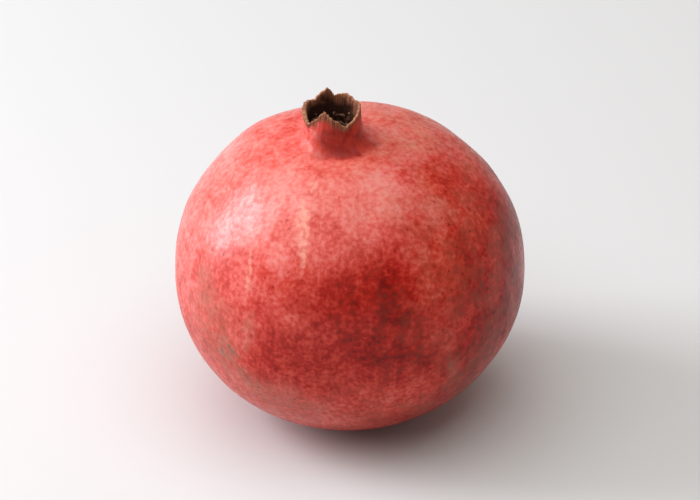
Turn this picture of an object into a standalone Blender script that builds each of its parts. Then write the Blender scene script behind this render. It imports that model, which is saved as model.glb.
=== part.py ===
"""A whole pomegranate, as picked, resting on its stem end with the crown up.

The rind and the calyx crown grew as one piece, so they are one solid, "fruit". Dried stamens and the
stub of the style stand inside the open crown, and the woody stub of the stalk sits in the dimple
underneath. The dimensions below are millimetres; MM turns them into Blender's metres.
Heights are measured from the flat spot that the fruit rests on.
"""

import math

import bmesh
import bpy
from mathutils import Vector

MM = 0.001
TURN = 2 * math.pi
GAP = 0.3  # clearance between pieces that touch

# The globe
GLOBE_DIAMETER = 95.0
GLOBE_HALF_HEIGHT = 42.8
GLOBE_CENTRE = 41.9
GLOBE_FULLNESS = 2.08  # 2 is an ellipse, more is squarer
SHOULDER_FULLNESS = 2.22  # the same, above the widest place
SHOULDER_HALF_HEIGHT = 42.3
SHOULDER_RADIUS = 20.0  # where the globe gives way to the neck
HEEL_RADIUS = 14.0  # where the globe gives way to the flat spot

# The flat spot and the dimple of the stalk
FLAT_RADIUS = 10.5
DIMPLE_RADIUS = 4.7
DIMPLE_DEPTH = 2.4
STUB_RADIUS = 2.3
STUB_RECESS = 0.7  # the cut end stays this far above the flat spot

# The crown
TUBE_RADIUS = 7.7
TUBE_WAIST = 86.5
RIM_HEIGHT = 91.8
RIM_THICKNESS = 1.0
CUP_RADIUS = 6.3
CUP_FLOOR = 82.0

# The way the fruit grew: both ends sit a little to the left of its middle
CROWN_LEAN = -4.9  # all of it between these two heights, so the crown stands upright beside the middle
LEAN_START = 72.0
LEAN_END = 87.0
BASE_LEAN = -1.1

# Soft waves round the globe: how many, share of the radius, bearing of the first crest in degrees
GLOBE_WAVES = ((2, 0.0050, 20.0), (3, 0.0045, 75.0), (5, 0.0045, 12.0), (6, 0.0030, 5.0))

# Fuller and flatter places on the globe: bearing in degrees, height, rise, spread
GLOBE_SWELLINGS = (
    (20.0, 64.0, -0.4, 15.0),
    (58.0, 79.0, 0.9, 12.0),
    (140.0, 75.0, 0.8, 14.0),
    (-60.0, 16.0, -0.4, 18.0),
)

# Sepals of the crown, each with the notch that follows it, anticlockwise from above: bearing of the tip
# in degrees, its height above the rim, its lean outwards, then the bearing and height of the notch
SEPALS = (
    (5.0, 2.1, 0.1, 30.0, 1.0),
    (55.0, 1.9, 0.1, 85.0, 0.7),
    (100.0, 3.1, 0.2, 130.0, 0.3),
    (160.0, 1.5, 0.0, 215.0, -1.4),
    (250.0, 3.1, -1.3, 300.0, -1.2),
)
NECK_RIB = 0.35  # how far each sepal's midrib stands out of the neck

# The dried flower parts
STAMEN_PAIRS = 20
THREAD_RADIUS = 0.27
OUTER_STAMEN_RADIUS = 5.25
INNER_STAMEN_RADIUS = 4.0
STYLE_RADIUS = 0.75
STYLE_TOP = 86.8

TURNING_STEPS = 72  # one column every five degrees, so each tip and notch has its own
COLOURS = {
    "rind": ((0.47, 0.055, 0.035), 0.42),
    "stalk": ((0.16, 0.085, 0.04), 0.8),
    "stamen": ((0.12, 0.05, 0.02), 0.75),
    "style": ((0.20, 0.10, 0.045), 0.75),
}


def clear_scene():
    for obj in list(bpy.data.objects):
        bpy.data.objects.remove(obj, do_unlink=True)


def material(name):
    colour, roughness = COLOURS[name]
    made = bpy.data.materials.new(name)
    made.use_nodes = True
    shader = made.node_tree.nodes["Principled BSDF"]
    shader.inputs["Base Color"].default_value = (*colour, 1.0)
    shader.inputs["Roughness"].default_value = roughness
    shader.inputs["Metallic"].default_value = 0.0
    made.diffuse_color = (*colour, 1.0)
    return made


def smoothstep(low, high, value):
    share = min(max((value - low) / (high - low), 0.0), 1.0)
    return share * share * (3 - 2 * share)


def bezier(start, first, second, end, steps):
    """Points of a cubic curve in the profile's plane, the first one left out."""
    points = []
    for i in range(1, steps + 1):
        t = i / steps
        u = 1 - t
        weights = (u**3, 3 * u * u * t, 3 * u * t * t, t**3)
        corners = (start, first, second, end)
        points.append(tuple(sum(w * c[k] for w, c in zip(weights, corners)) for k in (0, 1)))
    return points


def globe_point(latitude):
    """A point (radius, height) on the outline of the globe."""
    above = latitude > 0
    power = 2 / (SHOULDER_FULLNESS if above else GLOBE_FULLNESS)
    radius = GLOBE_DIAMETER / 2 * math.cos(latitude) ** power
    rise = abs(math.sin(latitude)) ** power
    return radius, GLOBE_CENTRE + (SHOULDER_HALF_HEIGHT * rise if above else -GLOBE_HALF_HEIGHT * rise)


def latitude_at(radius, fullness):
    return math.acos((radius / (GLOBE_DIAMETER / 2)) ** (fullness / 2))


def cup_profile():
    """From the middle of the cup's floor up its inner wall to the rim."""
    wall_foot = (CUP_RADIUS - 0.4, CUP_FLOOR + 1.6)
    inner_rim = (TUBE_RADIUS - RIM_THICKNESS, RIM_HEIGHT - 0.3)
    points = [(0.0, CUP_FLOOR), (2.2, CUP_FLOOR), (4.2, CUP_FLOOR)]
    points += bezier(points[-1], (5.2, CUP_FLOOR), (wall_foot[0], CUP_FLOOR + 0.5), wall_foot, 3)
    points += bezier(wall_foot, (CUP_RADIUS, 86.0), (CUP_RADIUS, 89.0), inner_rim, 6)
    return points


def neck_profile():
    """Over the rim, down the tube and out along the neck to the shoulder."""
    shoulder = globe_point(latitude_at(SHOULDER_RADIUS, SHOULDER_FULLNESS))
    outer_rim = (TUBE_RADIUS, RIM_HEIGHT - 0.3)
    waist = (TUBE_RADIUS + 0.35, TUBE_WAIST)
    points = [(TUBE_RADIUS - RIM_THICKNESS * share, RIM_HEIGHT) for share in (0.7, 0.3)]
    points.append(outer_rim)
    points += bezier(outer_rim, (TUBE_RADIUS - 0.1, 90.0), (TUBE_RADIUS + 0.1, 88.2), waist, 5)
    points += bezier(waist, (TUBE_RADIUS + 0.8, 82.0), (14.5, shoulder[1] + 2.3), shoulder, 8)
    return points


def globe_profile():
    """Down the outside of the globe from the shoulder to the heel."""
    top, bottom = latitude_at(SHOULDER_RADIUS, SHOULDER_FULLNESS), -latitude_at(HEEL_RADIUS, GLOBE_FULLNESS)
    steps = 24
    return [globe_point(top + (bottom - top) * i / steps) for i in range(1, steps + 1)]


def base_profile():
    """Round the heel, across the flat spot and up into the dimple of the stalk."""
    heel = globe_point(-latitude_at(HEEL_RADIUS, GLOBE_FULLNESS))
    floor = (DIMPLE_RADIUS - 1.6, DIMPLE_DEPTH)
    points = bezier(heel, (heel[0] - 1.2, heel[1] - 0.45), (FLAT_RADIUS + 0.8, 0.0), (FLAT_RADIUS, 0.0), 3)
    points += [(8.0, 0.0), (DIMPLE_RADIUS, 0.0)]
    points += bezier(points[-1], (DIMPLE_RADIUS - 0.5, 0.1), (floor[0] + 0.5, DIMPLE_DEPTH), floor, 4)
    points += [(2.0, DIMPLE_DEPTH + 0.1), (0.0, DIMPLE_DEPTH + 0.15)]
    return points


def turned_mesh(name, profile, steps):
    """A solid of revolution about Z, in millimetres, from a profile that runs down its outer side."""
    mesh = bpy.data.meshes.new(name + "_profile")
    edges = [(i, i + 1) for i in range(len(profile) - 1)]
    mesh.from_pydata([(r, 0.0, z) for r, z in profile], edges, [])
    outline = bpy.data.objects.new(name + "_outline", mesh)
    bpy.context.scene.collection.objects.link(outline)
    screw = outline.modifiers.new("turn", "SCREW")
    screw.steps = screw.render_steps = steps
    screw.use_merge_vertices = True
    screw.merge_threshold = 0.0001
    bpy.context.view_layer.update()
    graph = bpy.context.evaluated_depsgraph_get()
    turned = bpy.data.meshes.new_from_object(outline.evaluated_get(graph))
    bpy.data.objects.remove(outline, do_unlink=True)
    return turned


def lean_at(height):
    """Sideways shift of the fruit's axis at a height."""
    below = max(GLOBE_CENTRE - height, 0.0) / GLOBE_CENTRE
    return CROWN_LEAN * smoothstep(LEAN_START, LEAN_END, height) + BASE_LEAN * below**2


def on_globe(height):
    """1 on the globe, fading to 0 at the neck and at the flat spot."""
    return smoothstep(4.0, 26.0, height) * (1 - smoothstep(76.0, 84.0, height))


def globe_rise(point, bearing):
    """How far the skin stands out of the plain turned globe at a point."""
    radius = math.hypot(point.x, point.y)
    rise = radius * sum(
        size * math.cos(count * (bearing - math.radians(crest))) for count, size, crest in GLOBE_WAVES
    )
    for swelling_bearing, height, swell, spread in GLOBE_SWELLINGS:
        side = GLOBE_DIAMETER / 2 * math.sqrt(1 - ((height - GLOBE_CENTRE) / GLOBE_HALF_HEIGHT) ** 2)
        turn = math.radians(swelling_bearing)
        middle = Vector((side * math.cos(turn), side * math.sin(turn), height))
        rise += swell * math.exp(-((point - middle).length_squared) / spread**2)
    return rise * on_globe(point.z)


def sepal_at(bearing):
    """(height of the crown's edge above the rim, lean, closeness to a midrib) at a bearing."""
    angle = math.degrees(bearing)
    for i, (tip, height, lean, notch, notch_height) in enumerate(SEPALS):
        last_notch, last_height = SEPALS[i - 1][3:]
        after = ((angle - tip) % 360, (notch - tip) % 360, notch_height)
        before = ((tip - angle) % 360, (tip - last_notch) % 360, last_height)
        for offset, reach, foot in (after, before):
            if offset <= reach + 0.001:
                closeness = 1 - min(offset / reach, 1.0)
                return foot + (height - foot) * closeness**0.9, lean * closeness, closeness
    raise ValueError("the sepals leave a gap in the crown")


def grown(point):
    """Bends a point of the turned fruit into the grown one: swellings, neck ribs, sepals and lean."""
    radius, bearing = math.hypot(point.x, point.y), math.atan2(point.y, point.x)
    edge, lean, closeness = sepal_at(bearing)
    rise = globe_rise(point, bearing)
    slope = (point.z - GLOBE_CENTRE) / GLOBE_HALF_HEIGHT
    height = point.z + rise * slope
    radius += rise * math.sqrt(max(1 - slope**2, 0.0))
    on_neck = smoothstep(80.0, 85.0, point.z) * (1 - smoothstep(87.0, 91.0, point.z))
    if radius > CUP_RADIUS + 1:
        radius += NECK_RIB * (closeness**2 - 0.3) * on_neck
    in_sepal = smoothstep(TUBE_WAIST, RIM_HEIGHT, point.z)
    height += in_sepal * edge
    radius += lean * in_sepal**2
    return Vector((radius * math.cos(bearing) + lean_at(height), radius * math.sin(bearing), height))


def finished(name, mesh, colour):
    """Puts a mesh in millimetres on an object in metres, shaded smooth, in the fruit's collection."""
    for vertex in mesh.vertices:
        vertex.co *= MM
    mesh.materials.clear()
    mesh.materials.append(material_of[colour])
    mesh.shade_smooth()
    mesh.set_sharp_from_angle(angle=math.radians(50))
    obj = bpy.data.objects.new(name, mesh)
    collection.objects.link(obj)
    return obj


def make_fruit():
    profile = cup_profile() + neck_profile() + globe_profile() + base_profile()
    mesh = turned_mesh("fruit", profile, TURNING_STEPS)
    for vertex in mesh.vertices:
        vertex.co = grown(vertex.co)
    return finished("fruit", mesh, "rind")


def make_stem_stub():
    """The cut stalk: a woody plug that widens where it meets the fruit."""
    top, cut = DIMPLE_DEPTH - GAP, STUB_RECESS
    profile = [
        (0.0, top),
        (2.0, top - 0.05),
        (STUB_RADIUS + 0.25, top - 0.15),
        (STUB_RADIUS, top - 0.6),
        (STUB_RADIUS - 0.2, cut + 0.2),
        (STUB_RADIUS - 0.4, cut),
        (0.0, cut),
    ]
    mesh = turned_mesh("stem_stub", profile, 20)
    for vertex in mesh.vertices:
        bearing = math.atan2(vertex.co.y, vertex.co.x)
        vertex.co.xy *= 1 + 0.05 * math.cos(3 * bearing + 0.6)
        vertex.co.x += lean_at(vertex.co.z)
    return finished("stem_stub", mesh, "stalk")


def make_style():
    """The dried style, a tapering post with a knob on top."""
    foot = CUP_FLOOR + GAP
    profile = [
        (0.0, STYLE_TOP),
        (0.6, STYLE_TOP - 0.1),
        (1.0, STYLE_TOP - 0.5),
        (0.9, STYLE_TOP - 0.9),
        (0.5, STYLE_TOP - 1.3),
        (0.55, foot + 1.6),
        (STYLE_RADIUS, foot + 0.5),
        (STYLE_RADIUS + 0.3, foot),
        (0.0, foot),
    ]
    mesh = turned_mesh("style", profile, 12)
    for vertex in mesh.vertices:
        vertex.co.x += lean_at(vertex.co.z)
    return finished("style", mesh, "style")


def thread_mesh(name, points):
    """A round thread through points in millimetres, its end caps welded on."""
    data = bpy.data.curves.new(name, "CURVE")
    data.dimensions = "3D"
    data.bevel_depth = THREAD_RADIUS
    data.bevel_resolution = 1
    data.use_fill_caps = True
    spline = data.splines.new("POLY")
    spline.points.add(len(points) - 1)
    for slot, point in zip(spline.points, points):
        slot.co = (*point, 1.0)
    curve = bpy.data.objects.new(name + "_path", data)
    bpy.context.scene.collection.objects.link(curve)
    bpy.context.view_layer.update()
    graph = bpy.context.evaluated_depsgraph_get()
    mesh = bpy.data.meshes.new_from_object(curve.evaluated_get(graph))
    bpy.data.objects.remove(curve, do_unlink=True)
    welded = bmesh.new()
    welded.from_mesh(mesh)
    bmesh.ops.remove_doubles(welded, verts=welded.verts, dist=0.0001)
    welded.to_mesh(mesh)
    welded.free()
    return mesh


def stamen_points(index):
    """The line of one stamen. Even ones stand along the cup's wall, odd ones curl in front of them."""
    outer = index % 2 == 0
    bearing = TURN * index / (2 * STAMEN_PAIRS)
    if outer:
        foot_radius, foot, length, curl = OUTER_STAMEN_RADIUS, CUP_FLOOR + 1.1, 6.0, 0.5
        length += 0.5 * math.sin(5.0 * bearing + 1.0)
    else:
        foot_radius, foot, length, curl = INNER_STAMEN_RADIUS, CUP_FLOOR + GAP, 4.4, 0.9
        length += 0.4 * math.sin(7.0 * bearing)
    points = []
    steps = 4
    for i in range(steps + 1):
        share = i / steps
        radius = foot_radius - curl * share**2
        height = foot + length * math.sin(1.35 * share)
        x = radius * math.cos(bearing) + lean_at(height)
        points.append((x, radius * math.sin(bearing), height))
    return points


def make_stamens():
    return [
        finished(f"stamen_{i + 1:02d}", thread_mesh("stamen", stamen_points(i)), "stamen")
        for i in range(2 * STAMEN_PAIRS)
    ]


def centre_on_base(objects):
    """Slides the pieces sideways so that the fruit's box stands centred on the origin."""
    points = [v.co for obj in objects for v in obj.data.vertices]
    middle_x = (min(p.x for p in points) + max(p.x for p in points)) / 2
    middle_y = (min(p.y for p in points) + max(p.y for p in points)) / 2
    for obj in objects:
        for vertex in obj.data.vertices:
            vertex.co.x -= middle_x
            vertex.co.y -= middle_y


clear_scene()
material_of = {name: material(name) for name in COLOURS}
collection = bpy.data.collections.new("pomegranate")
bpy.context.scene.collection.children.link(collection)
pieces = [make_fruit(), make_stem_stub(), make_style(), *make_stamens()]
centre_on_base(pieces)
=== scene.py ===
# A whole pomegranate resting on its stem end, with its dried crown open at the top.
# Lengths are in millimetres, and bearings in degrees, anticlockwise from +X as seen from above.
import math
from types import SimpleNamespace

import bpy
import numpy as np
from mathutils import Matrix, Vector


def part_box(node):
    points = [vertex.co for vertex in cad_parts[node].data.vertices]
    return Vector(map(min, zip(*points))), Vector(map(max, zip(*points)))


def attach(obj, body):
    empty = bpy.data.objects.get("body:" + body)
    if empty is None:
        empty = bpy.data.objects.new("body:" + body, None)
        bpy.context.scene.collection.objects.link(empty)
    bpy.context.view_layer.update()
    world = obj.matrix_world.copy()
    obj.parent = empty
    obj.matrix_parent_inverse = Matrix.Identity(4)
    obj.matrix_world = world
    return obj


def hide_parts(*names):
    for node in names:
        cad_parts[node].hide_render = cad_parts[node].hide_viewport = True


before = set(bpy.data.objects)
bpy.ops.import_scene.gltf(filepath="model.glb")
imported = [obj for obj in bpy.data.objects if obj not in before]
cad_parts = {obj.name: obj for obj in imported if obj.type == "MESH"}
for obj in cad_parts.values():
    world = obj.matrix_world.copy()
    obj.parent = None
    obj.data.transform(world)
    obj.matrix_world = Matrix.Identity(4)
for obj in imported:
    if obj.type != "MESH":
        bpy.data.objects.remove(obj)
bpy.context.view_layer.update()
fruitLow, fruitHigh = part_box("fruit")
print("Frame loaded:", len(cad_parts), "nodes")

fruitShape = {
    "fullHeight": 94.9,  # the frame's fruit is this tall, which gives the length of a millimetre
    "globeWidth": 95.0,
    "globeHalfHeight": 42.8,
    "globeCentre": 41.9,
    "fullness": 2.08,  # 2 is an ellipse, more is squarer
    "shoulderFullness": 2.22,
    "shoulderHalfHeight": 42.3,
    "shoulderRadius": 20.0,
    "heelRadius": 14.0,
    "flatRadius": 10.5,
    "dimpleRadius": 4.7,
    "dimpleDepth": 2.4,
    "tubeRadius": 7.7,
    "tubeWaist": 86.5,
    "rimHeight": 91.8,
    "rimThickness": 0.75,
    "cupRadius": 6.3,
    "cupFloor": 82.0,
    "floorFlat": 4.2,
    "crownLean": -4.9,  # sideways, reached between the next two heights
    "leanStart": 72.0,
    "leanEnd": 87.0,
    "baseLean": -1.1,
    "reliefStart": (4.0, 26.0),  # the globe's swellings come in between these heights
    "reliefEnd": (76.0, 84.0),  # and go out between these
    "neckStart": (80.0, 85.0),  # and so the neck's ribs and grooves
    "neckEnd": (87.0, 91.0),
    "creaseStart": (78.0, 81.0),
    "creaseRadius": 10.4,
    "creaseWidth": 1.3,
    "wrinkleStart": (83.5, 88.5),
    "frontBearing": 290.0,
    "lipBearing": 180.0,
    "lipSpread": 34.0,
    "columns": 300,
    "waves": (  # how many there are round the globe, height as a share of the radius, bearing of a crest
        (2, 0.0050, 20.0),
        (3, 0.0045, 75.0),
        (5, 0.0045, 12.0),
        (6, 0.0030, 5.0),
    ),
    "swellings": (  # bearing, height, rise, spread
        (20.0, 64.0, -0.4, 15.0),
        (58.0, 79.0, 0.9, 12.0),
        (140.0, 75.0, 0.8, 14.0),
        (-60.0, 16.0, -0.4, 18.0),
    ),
    "sepals": (  # bearing of the tip, height, lean outwards, then bearing and height of the notch after it
        (5.0, 2.1, 0.1, 30.0, 1.0),
        (55.0, 1.9, 0.1, 85.0, 0.7),
        (100.0, 3.1, 0.2, 130.0, 0.3),
        (160.0, 1.5, 0.0, 215.0, -1.4),
        (250.0, 3.1, -1.3, 300.0, -1.2),
    ),
}
mm = (fruitHigh.z - fruitLow.z) / fruitShape["fullHeight"]


# Links a socket to another node, or sets its value
def feed(tree, socket, value):
    if isinstance(value, bpy.types.NodeSocket):
        tree.links.new(value, socket)
    else:
        socket.default_value = value


def place(tree, kind, inputs=None, **settings):
    node = tree.nodes.new(kind)
    for name, value in settings.items():
        setattr(node, name, value)
    for key, value in (inputs or {}).items():
        feed(tree, node.inputs[key], value)
    return node


def calc(tree, operation, *terms):
    return place(tree, "ShaderNodeMath", dict(enumerate(terms)), operation=operation).outputs[0]


def oneMinus(tree, value):
    return calc(tree, "SUBTRACT", 1.0, value)


def clamped(tree, value):
    return place(tree, "ShaderNodeClamp", {0: value}).outputs[0]


def total(tree, *parts):
    result = parts[0]
    for part in parts[1:]:
        result = calc(tree, "ADD", result, part)
    return result


def times(tree, *parts):
    result = parts[0]
    for part in parts[1:]:
        result = calc(tree, "MULTIPLY", result, part)
    return result


# The sum of values, each given with its weight
def weighed(tree, *pairs):
    return total(tree, *(times(tree, value, weight) for value, weight in pairs))


# A mask turned into a swing about nought, of a width from its lowest to its highest
def swing(tree, value, width):
    return times(tree, calc(tree, "SUBTRACT", value, 0.5), width)


def fade(tree, value, low, high, start=0.0, end=1.0, kind="SMOOTHSTEP"):
    spots = {"Value": value, "From Min": low, "From Max": high, "To Min": start, "To Max": end}
    return place(tree, "ShaderNodeMapRange", spots, interpolation_type=kind).outputs[0]


def bell(tree, value, middle, width):
    away = calc(tree, "DIVIDE", calc(tree, "SUBTRACT", value, middle), width)
    return calc(tree, "EXPONENT", times(tree, away, away, -1.0))


def vector(tree, operation, *terms, output=0):
    return place(tree, "ShaderNodeVectorMath", dict(enumerate(terms)), operation=operation).outputs[output]


def scaled(tree, arrow, size):
    return place(tree, "ShaderNodeVectorMath", {0: arrow, "Scale": size}, operation="SCALE").outputs[0]


def distance(tree, first, second):
    return vector(tree, "DISTANCE", first, second, output="Value")


def dotProduct(tree, first, second):
    return vector(tree, "DOT_PRODUCT", first, second, output="Value")


def combined(tree, **parts):
    inputs = {axis.upper(): value for axis, value in parts.items()}
    return place(tree, "ShaderNodeCombineXYZ", inputs).outputs[0]


def separated(tree, spot):
    return place(tree, "ShaderNodeSeparateXYZ", {0: spot}).outputs


def cloud(tree, spot, scale, detail):
    inputs = {"Vector": spot, "Scale": scale, "Detail": detail}
    return place(tree, "ShaderNodeTexNoise", inputs).outputs["Color"]


# A small random shift that changes from place to place
def wander(tree, spot, scale, detail, reach):
    return scaled(tree, vector(tree, "SUBTRACT", cloud(tree, spot, scale, detail), (0.5, 0.5, 0.5)), reach)


def addSocket(tree, name, kind, default=None, output=False):
    side = "OUTPUT" if output else "INPUT"
    socket = tree.interface.new_socket(name=name, in_out=side, socket_type="NodeSocket" + kind)
    if default is not None:
        socket.default_value = default


# A node tree with one named input for each of the values
def newGeometryTree(name, values):
    tree = bpy.data.node_groups.new(name, "GeometryNodeTree")
    addSocket(tree, "Geometry", "Geometry")
    kinds = {bpy.types.Material: "Material", int: "Int", float: "Float"}
    for label, value in values.items():
        kind = kinds[type(value)]
        addSocket(tree, label, kind, None if kind == "Material" else value)
    addSocket(tree, "Geometry", "Geometry", output=True)
    return tree, tree.nodes.new("NodeGroupInput").outputs, tree.nodes.new("NodeGroupOutput").inputs


# The last steps of a tree: its geometry made real, in its material
def finishTree(tree, last, given, result):
    plain = place(tree, "GeometryNodeRealizeInstances", {"Geometry": last.outputs[0]})
    inputs = {"Geometry": plain.outputs[0], "Material": given["Material"]}
    tree.links.new(place(tree, "GeometryNodeSetMaterial", inputs).outputs[0], result["Geometry"])


# Puts a tree on a piece, sets its inputs and keeps the outcome as the piece's plain mesh
def growInto(piece, tree, values):
    bpy.context.scene.collection.objects.link(piece)
    modifier = piece.modifiers.new(tree.name, "NODES")
    modifier.node_group = tree
    for item in tree.interface.items_tree:
        if item.item_type == "SOCKET" and item.in_out == "INPUT" and item.name in values:
            modifier[item.identifier] = values[item.name]
    bpy.context.view_layer.update()
    graph = bpy.context.evaluated_depsgraph_get()
    grown = bpy.data.meshes.new_from_object(
        piece.evaluated_get(graph), preserve_all_data_layers=True, depsgraph=graph
    )
    piece.modifiers.remove(modifier)
    piece.data = grown
    grown.name = piece.name
    return piece


def smooth(low, high, value):
    share = min(max((value - low) / (high - low), 0.0), 1.0)
    return share * share * (3 - 2 * share)


# Points of a cubic curve in the profile's plane, the first one left out
def curvePoints(start, first, second, end, steps):
    points = []
    for i in range(1, steps + 1):
        t = i / steps
        weights = ((1 - t) ** 3, 3 * (1 - t) ** 2 * t, 3 * (1 - t) * t * t, t**3)
        corners = (start, first, second, end)
        points.append(tuple(sum(w * c[k] for w, c in zip(weights, corners)) for k in (0, 1)))
    return points


# Sideways shift of the fruit's axis at a height
def axisShift(height):
    s = fruitShape
    below = max(s["globeCentre"] - height, 0.0) / s["globeCentre"]
    return s["crownLean"] * smooth(s["leanStart"], s["leanEnd"], height) + s["baseLean"] * below**2


def globePoint(latitude):
    s = fruitShape
    above = latitude > 0
    power = 2 / (s["shoulderFullness"] if above else s["fullness"])
    radius = s["globeWidth"] / 2 * math.cos(latitude) ** power
    rise = abs(math.sin(latitude)) ** power
    halfHeight = s["shoulderHalfHeight"] if above else -s["globeHalfHeight"]
    return radius, s["globeCentre"] + halfHeight * rise


def latitudeAt(radius, fullness):
    return math.acos((radius / (fruitShape["globeWidth"] / 2)) ** (fullness / 2))


# The skin's outline from the middle of the cup's floor, over the rim, down the globe and into the dimple
def skinProfile():
    s = fruitShape
    tube, rim, thick = s["tubeRadius"], s["rimHeight"], s["rimThickness"]
    floor, cup = s["cupFloor"], s["cupRadius"]
    points = [(s["floorFlat"] * i / 6, floor) for i in range(7)]
    wallFoot = (cup - 0.4, floor + 1.6)
    innerRim = (tube - thick, rim - 0.35)
    outerRim = (tube, rim - 0.35)
    points += curvePoints(points[-1], (5.2, floor), (wallFoot[0], floor + 0.5), wallFoot, 8)
    points += curvePoints(wallFoot, (cup, 86.0), (cup, 89.0), innerRim, 34)
    middle = (tube - thick / 2, rim)
    points += curvePoints(innerRim, (innerRim[0], rim - 0.1), (middle[0] - 0.2, rim), middle, 4)
    rimRing = len(points) - 1
    points += curvePoints(middle, (middle[0] + 0.2, rim), (outerRim[0], rim - 0.1), outerRim, 4)
    top = latitudeAt(s["shoulderRadius"], s["shoulderFullness"])
    bottom = -latitudeAt(s["heelRadius"], s["fullness"])
    shoulder = globePoint(top)
    waist = (tube + 0.35, s["tubeWaist"])
    points += curvePoints(outerRim, (tube - 0.1, 90.0), (tube + 0.1, 88.2), waist, 24)
    points += curvePoints(waist, (tube + 0.8, 82.0), (14.5, shoulder[1] + 2.3), shoulder, 34)
    globeRings = 104
    points += [globePoint(top + (bottom - top) * i / globeRings) for i in range(1, globeRings + 1)]
    heel, flat, dimple = points[-1], s["flatRadius"], s["dimpleRadius"]
    points += curvePoints(heel, (heel[0] - 1.2, heel[1] - 0.45), (flat + 0.8, 0.0), (flat, 0.0), 8)
    points += [(flat + (dimple - flat) * i / 5, 0.0) for i in range(1, 6)]
    dimpleFloor = (dimple - 1.6, s["dimpleDepth"])
    beforeFloor = (dimpleFloor[0] + 0.5, dimpleFloor[1])
    points += curvePoints((dimple, 0.0), (dimple - 0.5, 0.1), beforeFloor, dimpleFloor, 10)
    points += [(2.0, dimpleFloor[1] + 0.1), (1.0, dimpleFloor[1] + 0.13), (0.0, dimpleFloor[1] + 0.15)]
    return points, rimRing


# (height of the crown's edge above the rim, lean, closeness to a sepal's midrib) at a bearing
def sepalAt(angle):
    sepals = fruitShape["sepals"]
    for i, (tip, height, lean, notch, notchHeight) in enumerate(sepals):
        lastNotch, lastHeight = sepals[i - 1][3:]
        after = ((angle - tip) % 360, (notch - tip) % 360, notchHeight)
        before = ((tip - angle) % 360, (tip - lastNotch) % 360, lastHeight)
        for offset, reach, foot in (after, before):
            if offset <= reach + 0.001:
                closeness = 1 - min(offset / reach, 1.0)
                return foot + (height - foot) * closeness**0.9, lean * closeness, closeness


# A closed turned mesh, in millimetres; the profile starts and ends on the axis and runs down the outer side
def turned(name, profile, columns):
    rings = np.array(profile)
    bearings = np.arange(columns) * 2 * math.pi / columns
    body = rings[1:-1]
    around = np.stack([np.cos(bearings), np.sin(bearings)], axis=1)
    points = np.empty((len(body), columns, 3))
    points[:, :, :2] = body[:, None, :1] * around[None]
    points[:, :, 2] = body[:, None, 1]
    ends = [(0.0, 0.0, rings[0][1]), (0.0, 0.0, rings[-1][1])]
    corners = [ends[0], *points.reshape(-1, 3).tolist(), ends[1]]
    last = len(corners) - 1
    faces = []
    for j in range(columns):
        k = (j + 1) % columns
        faces.append((0, 1 + j, 1 + k))
        for i in range(len(body) - 1):
            row, below = 1 + i * columns, 1 + (i + 1) * columns
            faces.append((row + j, below + j, below + k, row + k))
        foot = 1 + (len(body) - 1) * columns
        faces.append((foot + j, last, foot + k))
    mesh = bpy.data.meshes.new(name)
    mesh.from_pydata(corners, [], faces)
    mesh.shade_smooth()
    return bpy.data.objects.new(name, mesh)


def addAttribute(mesh, name, values):
    mesh.attributes.new(name, "FLOAT", "POINT").data.foreach_set("value", np.array(values, np.float32))


# The turned skin before it grows into shape, with what each point needs to know about the crown
def skinBlank():
    profile, rimRing = skinProfile()
    columns = fruitShape["columns"]
    blank = turned("pomegranate_skin", profile, columns)
    lengths = [0.0]
    for before, here in zip(profile, profile[1:]):
        lengths.append(lengths[-1] + math.dist(before, here))
    fromRim = [length - lengths[rimRing] for length in lengths]
    bearings = [360.0 * j / columns for j in range(columns)]
    edge, lean, midrib = zip(*(sepalAt(angle) for angle in bearings))
    rings = len(profile) - 2
    for name, row in (("bearing", bearings), ("edgeHeight", edge), ("sepalLean", lean), ("midrib", midrib)):
        addAttribute(blank.data, name, [row[0], *(list(row) * rings), row[0]])
    along = [value for value in fromRim[1:-1] for _ in range(columns)]
    addAttribute(blank.data, "fromRim", [fromRim[0], *along, fromRim[-1]])
    return blank


growth = {
    "Crown Lean": fruitShape["crownLean"],
    "Base Lean": fruitShape["baseLean"],
    "Neck Rib": 0.45,
    "Neck Groove": 0.5,
    "Wrinkle Depth": 0.4,
    "Ragged Edge": 1.0,
    "Rolled Lip": 0.55,
    "Foot Crease": 0.6,
    "Skin Relief": 0.5,
    "Relief Size": 17.0,
    "Seed": 4.0,
}


def leanAt(tree, height, crownLean, baseLean):
    above = fade(tree, height, fruitShape["leanStart"], fruitShape["leanEnd"])
    below = fade(tree, height, 0.0, fruitShape["globeCentre"], 1.0, 0.0, "LINEAR")
    return total(tree, times(tree, above, crownLean), times(tree, below, below, baseLean))


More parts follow.
